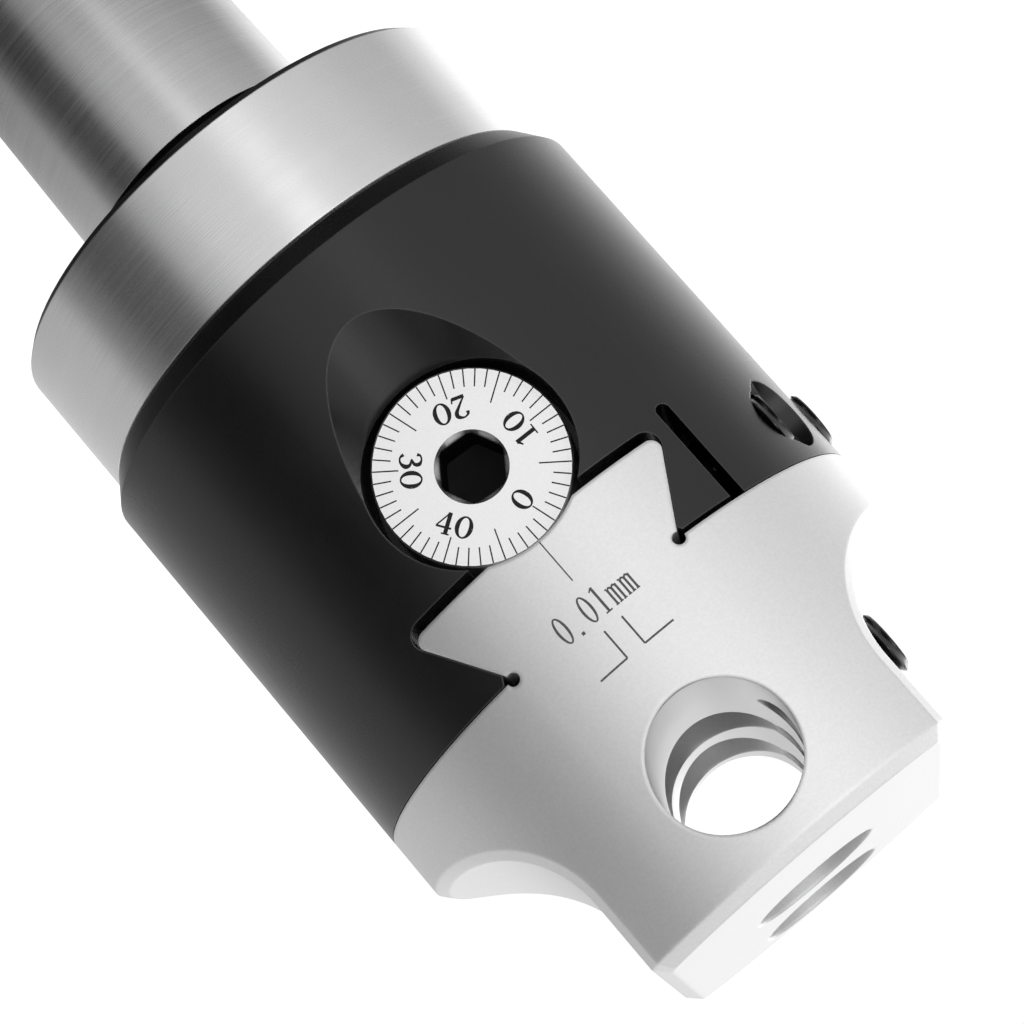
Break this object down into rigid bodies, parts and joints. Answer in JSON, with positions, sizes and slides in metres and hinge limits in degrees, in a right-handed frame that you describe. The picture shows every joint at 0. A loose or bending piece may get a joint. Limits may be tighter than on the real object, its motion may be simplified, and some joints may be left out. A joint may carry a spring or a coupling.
{
  "type": "boring head",
  "caption": "Boring head on a Morse taper arbor: a dovetail slide with crossed tool bores moves sideways when its graduated feed dial is turned.",
  "frame": {"origin": "on the spindle axis, at the gauge line of the taper shank", "axes": "+Z along the spindle axis, out of the spindle towards the tool; -Y towards the feed dial; -X towards the set screws"},
  "size_m": [0.0496, 0.049, 0.1615],
  "materials": {
    "ground_steel": "ground, satin",
    "black_oxide": "black oxide, semi-gloss",
    "satin_steel": "fine blasted satin",
    "dial_steel": "satin chromed, engraved black",
    "hardened_steel": "hardened and ground",
    "bronze": "turned",
    "black_screw": "black oxide"
  },
  "bodies": {
    "head": {"arbor": "ground_steel", "head_body": "black_oxide", "thrust_washer": "hardened_steel"},
    "slide": {"slide": "satin_steel", "feed_nut": "bronze"},
    "dial": {"dial_screw": "dial_steel", "thrust_collar": "hardened_steel", "collar_pin": "hardened_steel"},
    "gib_screw_front": {"gib_screw_front": "black_screw"},
    "gib_screw_middle": {"gib_screw_middle": "black_screw"},
    "gib_screw_rear": {"gib_screw_rear": "black_screw"},
    "clamp_screw_front": {"clamp_screw_front": "black_screw"},
    "clamp_screw_middle": {"clamp_screw_middle": "black_screw"},
    "clamp_screw_rear": {"clamp_screw_rear": "black_screw"}
  },
  "joints": [
    {"name": "dial_turn", "type": "hinge", "parent": "head", "child": "dial", "pos_m": [0, -0.0212, 0.04075], "axis": [0, 1, 0], "range_deg": [0, 9360]},
    {"name": "slide_feed", "type": "slide", "parent": "head", "child": "slide", "axis": [0, 1, 0], "range_m": [0, 0.013]},
    {"name": "gib_screw_front_turn", "type": "hinge", "parent": "head", "child": "gib_screw_front", "pos_m": [-0.018, -0.0108, 0.0514], "axis": [-1, 0, 0], "range_deg": [-90, 360]},
    {"name": "gib_screw_middle_turn", "type": "hinge", "parent": "head", "child": "gib_screw_middle", "pos_m": [-0.018, 0, 0.0514], "axis": [-1, 0, 0], "range_deg": [-90, 360]},
    {"name": "gib_screw_rear_turn", "type": "hinge", "parent": "head", "child": "gib_screw_rear", "pos_m": [-0.018, 0.0108, 0.0514], "axis": [-1, 0, 0], "range_deg": [-90, 360]},
    {"name": "clamp_screw_front_turn", "type": "hinge", "parent": "slide", "child": "clamp_screw_front", "pos_m": [-0.012, -0.0137, 0.07125], "axis": [-1, 0, 0], "range_deg": [-90, 720]},
    {"name": "clamp_screw_middle_turn", "type": "hinge", "parent": "slide", "child": "clamp_screw_middle", "pos_m": [-0.012, 0, 0.07125], "axis": [-1, 0, 0], "range_deg": [-90, 720]},
    {"name": "clamp_screw_rear_turn", "type": "hinge", "parent": "slide", "child": "clamp_screw_rear", "pos_m": [-0.012, 0.0162, 0.07125], "axis": [-1, 0, 0], "range_deg": [-90, 720]}
  ],
  "couplings": [
    {"joint": "dial_turn", "follows": "slide_feed", "rad_per_m": 12566}
  ]
}
